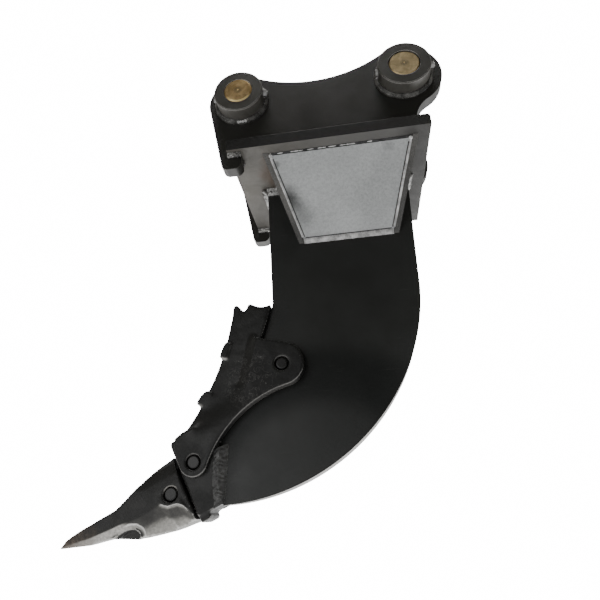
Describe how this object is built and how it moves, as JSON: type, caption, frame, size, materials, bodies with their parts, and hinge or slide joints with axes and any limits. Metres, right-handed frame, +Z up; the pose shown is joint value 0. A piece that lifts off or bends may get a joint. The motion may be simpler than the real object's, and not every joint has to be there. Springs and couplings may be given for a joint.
{
  "type": "excavator ripper",
  "caption": "Excavator ripper: a curved plate shank under an eared pin hitch, with boxed gussets, a pinned cast shin guard and a pinned tooth on a welded nose adapter.",
  "frame": {"origin": "middle of the front hitch pin's axis", "axes": "+X from the front hitch pin to the rear one, +Z up, out of the hitch, and Y along the pins; the tooth points to -X"},
  "size_m": [0.8328, 0.422, 0.9616],
  "materials": {
    "black_paint": "satin black paint",
    "grey_plate": "silver grey paint, mottled",
    "black_casting": "black painted rough casting",
    "turned_steel": "turned steel with a yellow passivated face",
    "zinc_plate": "zinc plated",
    "lock_steel": "oiled dark steel",
    "weld_metal": "painted weld bead"
  },
  "bodies": {
    "root": {"base_plate": "grey_plate", "ear_left": "black_paint", "ear_right": "black_paint", "front_collar_left": "black_paint", "front_collar_right": "black_paint", "rear_collar_left": "black_paint", "rear_collar_right": "black_paint", "front_pin": "turned_steel", "rear_pin": "turned_steel", "front_bolt": "zinc_plate", "rear_bolt": "zinc_plate", "front_lock_nut": "zinc_plate", "rear_lock_nut": "zinc_plate", "shank": "black_paint", "gusset_front_left": "grey_plate", "gusset_rear_left": "grey_plate", "gusset_front_right": "grey_plate", "gusset_rear_right": "grey_plate", "gusset_cover_left": "grey_plate", "gusset_cover_right": "grey_plate", "nose_adapter": "black_casting", "tooth": "black_casting", "tooth_pin": "lock_steel", "tooth_pin_ring": "lock_steel", "shin_guard": "black_casting", "upper_guard_pin": "lock_steel", "lower_guard_pin": "lock_steel", "upper_pin_ring": "lock_steel", "lower_pin_ring": "lock_steel", "collar_welds": "weld_metal", "ear_welds": "weld_metal", "shank_welds": "weld_metal", "gusset_welds": "weld_metal", "adapter_welds": "weld_metal"}
  },
  "joints": []
}
